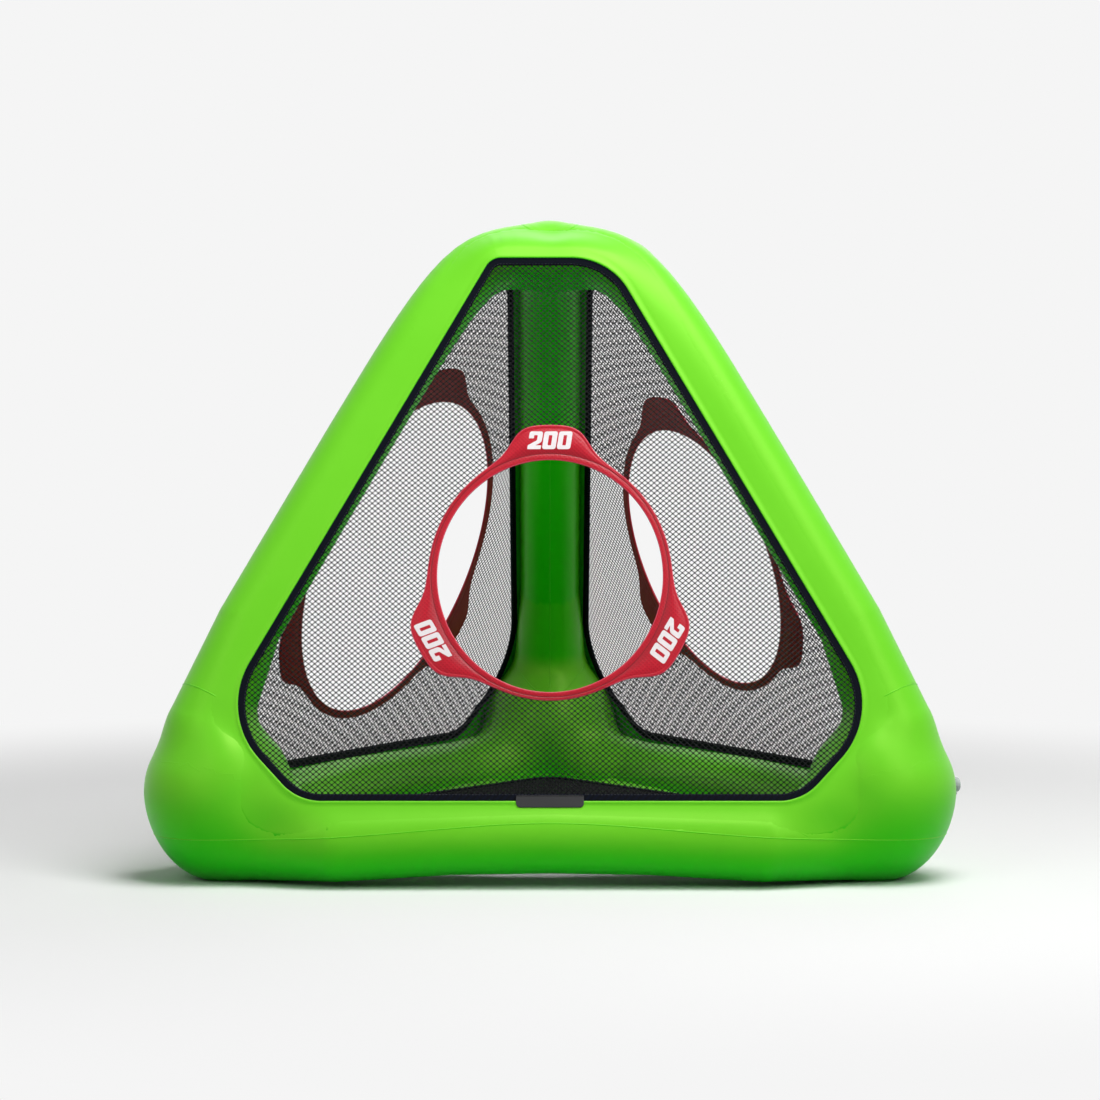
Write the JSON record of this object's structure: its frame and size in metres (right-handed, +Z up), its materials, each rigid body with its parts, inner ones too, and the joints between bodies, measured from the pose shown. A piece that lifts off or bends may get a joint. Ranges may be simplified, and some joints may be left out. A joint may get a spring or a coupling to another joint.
{
  "type": "inflatable pool target game",
  "caption": "Inflatable three-legged pyramid frame with netted sides; each side net has a round, lobed target ring to throw balls through.",
  "frame": {"origin": "middle of the footprint's bounding box, on the ground", "axes": "+Z up, -Y out of the front target side, +X to the right seen from the front"},
  "size_m": [0.9055, 0.8164, 0.7325],
  "materials": {
    "green_pvc": "bright green PVC film, satin gloss",
    "black_net": "black knitted polyester mesh",
    "navy_tape": "near-black woven binding tape",
    "red_film": "red embossed PVC film",
    "dark_red_backing": "dark red PVC film, matte back",
    "black_tab": "black moulded tab, plain",
    "clear_pvc": "milky translucent soft PVC",
    "clear_strap": "milky translucent soft PVC strap"
  },
  "bodies": {
    "frame": {"base_lower_skin": "green_pvc", "base_upper_skin": "green_pvc", "leg_left": "green_pvc", "leg_right": "green_pvc", "leg_back": "green_pvc", "apex_patch": "green_pvc", "front_strip": "green_pvc", "right_strip": "green_pvc", "left_strip": "green_pvc", "base_strip": "green_pvc", "front_net": "black_net", "right_net": "black_net", "left_net": "black_net", "base_net": "black_net", "front_tape": "navy_tape", "right_tape": "navy_tape", "left_tape": "navy_tape", "base_tape": "navy_tape", "front_ring": "red_film", "right_ring": "red_film", "left_ring": "red_film", "front_ring_backing": "dark_red_backing", "right_ring_backing": "dark_red_backing", "left_ring_backing": "dark_red_backing", "front_label_tab": "black_tab", "right_label_tab": "black_tab", "left_label_tab": "black_tab", "valve_flange": "clear_pvc", "valve_tether": "clear_strap"},
    "stem": {"valve_stem": "clear_pvc"},
    "plug": {"valve_plug": "clear_pvc"},
    "flap": {"valve_flap": "clear_pvc"}
  },
  "joints": [
    {"name": "stem_push", "type": "slide", "parent": "frame", "child": "stem", "axis": [0.9063, 0.4226, 0], "range_m": [-0.009, 0]},
    {"name": "plug_pull", "type": "slide", "parent": "stem", "child": "plug", "axis": [0.9063, 0.4226, 0], "range_m": [0, 0.014], "deforming": ["valve_tether"]},
    {"name": "flap_open", "type": "hinge", "parent": "stem", "child": "flap", "pos_m": [0.42844, -0.28804, 0.1005], "axis": [0, 0, 1], "range_deg": [0, 55]}
  ]
}
